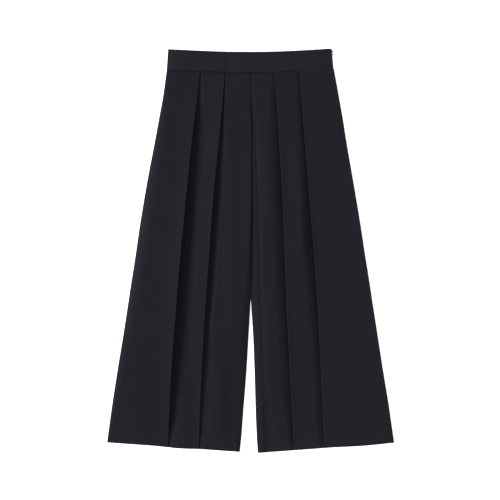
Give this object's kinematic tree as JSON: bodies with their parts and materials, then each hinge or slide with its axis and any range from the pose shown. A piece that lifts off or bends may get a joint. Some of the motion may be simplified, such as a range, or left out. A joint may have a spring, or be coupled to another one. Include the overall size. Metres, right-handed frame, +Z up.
{
  "type": "hakama trousers laid flat",
  "caption": "Wide cropped hakama trousers with a plain waistband and full-length knife pleats facing the centre, laid flat front up.",
  "frame": {"origin": "middle of the laid-out trousers on the surface they lie on", "axes": "+Y along the garment towards the waistband, +X towards the wearer's left, +Z up out of the front"},
  "size_m": [0.6049, 0.8521, 0.0137],
  "materials": {
    "cloth": "matte fine twill, near-black navy",
    "waistband": "the same twill over a firm interlining",
    "zip": "dark enamel"
  },
  "bodies": {
    "trousers": {"front_leg_right": "cloth", "front_leg_left": "cloth", "back_leg_right": "cloth", "back_leg_left": "cloth", "waistband_front": "waistband", "waistband_back": "waistband", "zip_slider": "zip"},
    "pull_tab": {"zip_pull_tab": "zip"}
  },
  "joints": [
    {"name": "pull_tab_hinge", "type": "hinge", "parent": "trousers", "child": "pull_tab", "pos_m": [0.17237, 0.42135, 0.00195], "axis": [0, 0, 1], "range_deg": [0, 160]}
  ]
}
